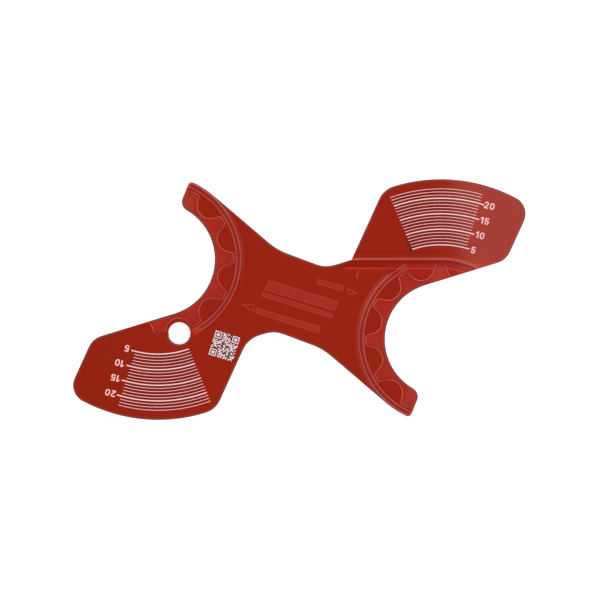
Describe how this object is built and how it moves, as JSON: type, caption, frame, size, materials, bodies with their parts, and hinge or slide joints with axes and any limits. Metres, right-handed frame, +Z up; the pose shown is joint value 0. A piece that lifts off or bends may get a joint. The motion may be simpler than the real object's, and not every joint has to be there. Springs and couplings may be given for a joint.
{
  "type": "chain gap gauge",
  "caption": "Flat plastic chain gap gauge with hooks that seat on a derailleur pulley and scaled wings that read the gap to the largest sprocket.",
  "frame": {"origin": "middle of the gauge in plan, at the level of the right wing's underside", "axes": "+X along the gauge from the left wing to the right wing, +Z up out of the face with the ribs"},
  "size_m": [0.1456, 0.0774, 0.0066],
  "materials": {
    "tinted_red_plastic": "smooth moulded plastic with a soft gloss"
  },
  "bodies": {
    "root": {"gauge_body": "tinted_red_plastic"}
  },
  "joints": []
}
